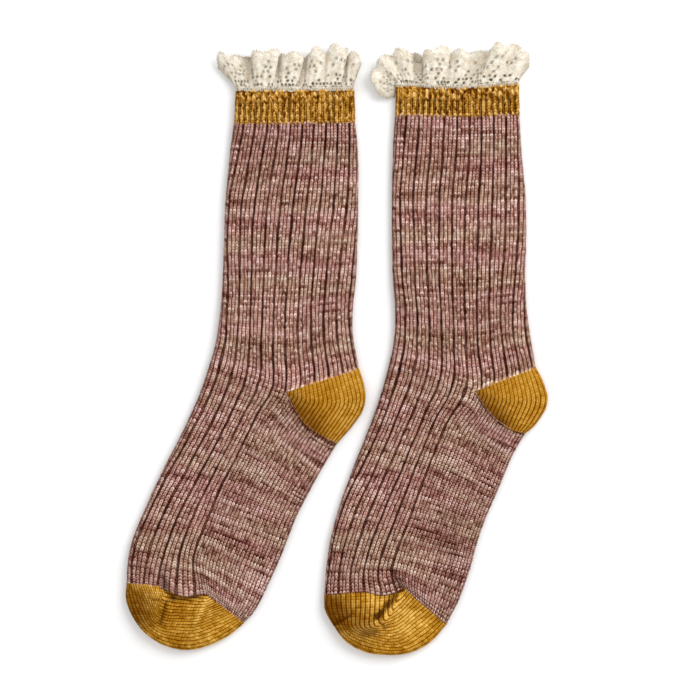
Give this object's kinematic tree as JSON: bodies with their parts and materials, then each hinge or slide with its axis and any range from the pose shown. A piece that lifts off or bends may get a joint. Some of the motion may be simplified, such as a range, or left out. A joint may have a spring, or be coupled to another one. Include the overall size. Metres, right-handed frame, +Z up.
{
  "type": "pair of knitted socks",
  "caption": "Pair of ribbed knit crew socks in pink and maroon marl with mustard cuffs, heels and toes and gathered cream lace tops, laid flat.",
  "frame": {"origin": "centre of the pair's footprint, on the surface that the socks lie on", "axes": "+Z up from that surface; +Y from the toes to the lace tops; the toes point to -X; each sock lies on its side"},
  "size_m": [0.2771, 0.4026, 0.012],
  "materials": {
    "marl": "knitted wool blend in a pink, maroon and beige marl, matte",
    "mustard_cuff": "one-by-one rib knit in mustard yarn, matte",
    "mustard_heel": "plain knit in mustard yarn, matte",
    "mustard_toe": "plain knit in mustard yarn, matte",
    "lace": "gathered cotton lace with eyelets, matte"
  },
  "bodies": {
    "root": {"left_frill": "lace", "left_cuff": "mustard_cuff", "left_leg_foot": "marl", "left_heel": "mustard_heel", "left_toe": "mustard_toe", "right_frill": "lace", "right_cuff": "mustard_cuff", "right_leg_foot": "marl", "right_heel": "mustard_heel", "right_toe": "mustard_toe"}
  },
  "joints": []
}
